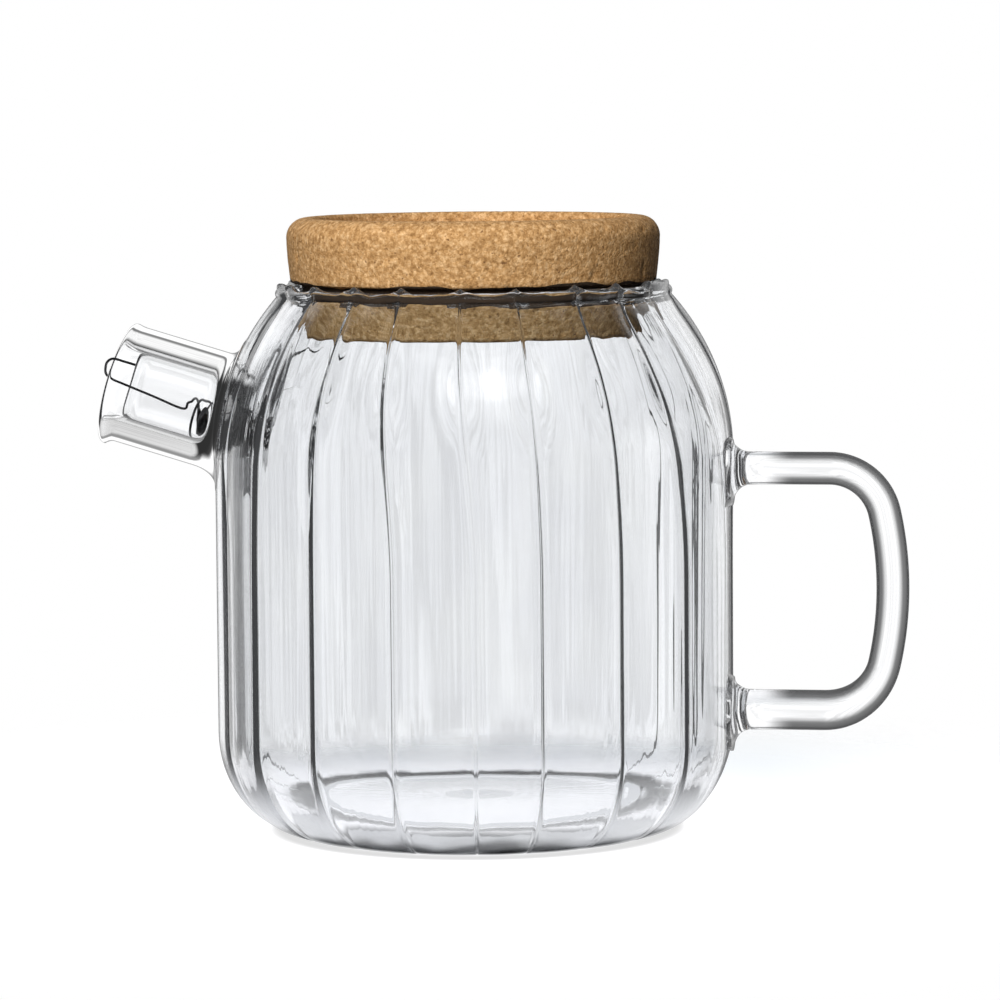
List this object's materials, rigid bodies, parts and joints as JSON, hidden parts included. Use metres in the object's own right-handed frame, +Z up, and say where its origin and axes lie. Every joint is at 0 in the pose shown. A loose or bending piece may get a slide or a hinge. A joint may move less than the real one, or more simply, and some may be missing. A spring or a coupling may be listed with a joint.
{
  "type": "glass teapot",
  "caption": "Lobed clear glass teapot with a cork stopper lid, a short straight spout holding a wire strainer, and a squared glass rod handle.",
  "frame": {"origin": "centre of the flat foot, on the plane that the teapot stands on", "axes": "+Z up along the jar's axis, +X towards the handle, -X towards the spout, +Y to the far side when the handle is on the right"},
  "size_m": [0.1878, 0.12, 0.1415],
  "materials": {
    "clear_glass": "clear borosilicate glass, blown, drawn and polished by the flame",
    "cork": "agglomerated cork, fine grain, matt, unvarnished",
    "steel_wire": "drawn stainless steel wire, satin"
  },
  "bodies": {
    "pot": {"glass_body": "clear_glass", "spout_tube": "clear_glass", "spout_collar": "clear_glass", "handle_rod": "clear_glass", "handle_upper_weld": "clear_glass", "handle_lower_weld": "clear_glass"},
    "lid": {"cork_lid": "cork"},
    "strainer": {"spout_strainer": "steel_wire"}
  },
  "joints": [
    {"name": "lid_lift", "type": "slide", "parent": "pot", "child": "lid", "axis": [0, 0, 1], "range_m": [0, 0.06]},
    {"name": "strainer_pull", "type": "slide", "parent": "pot", "child": "strainer", "axis": [-0.9781, 0, 0.2079], "range_m": [0, 0.045]}
  ]
}
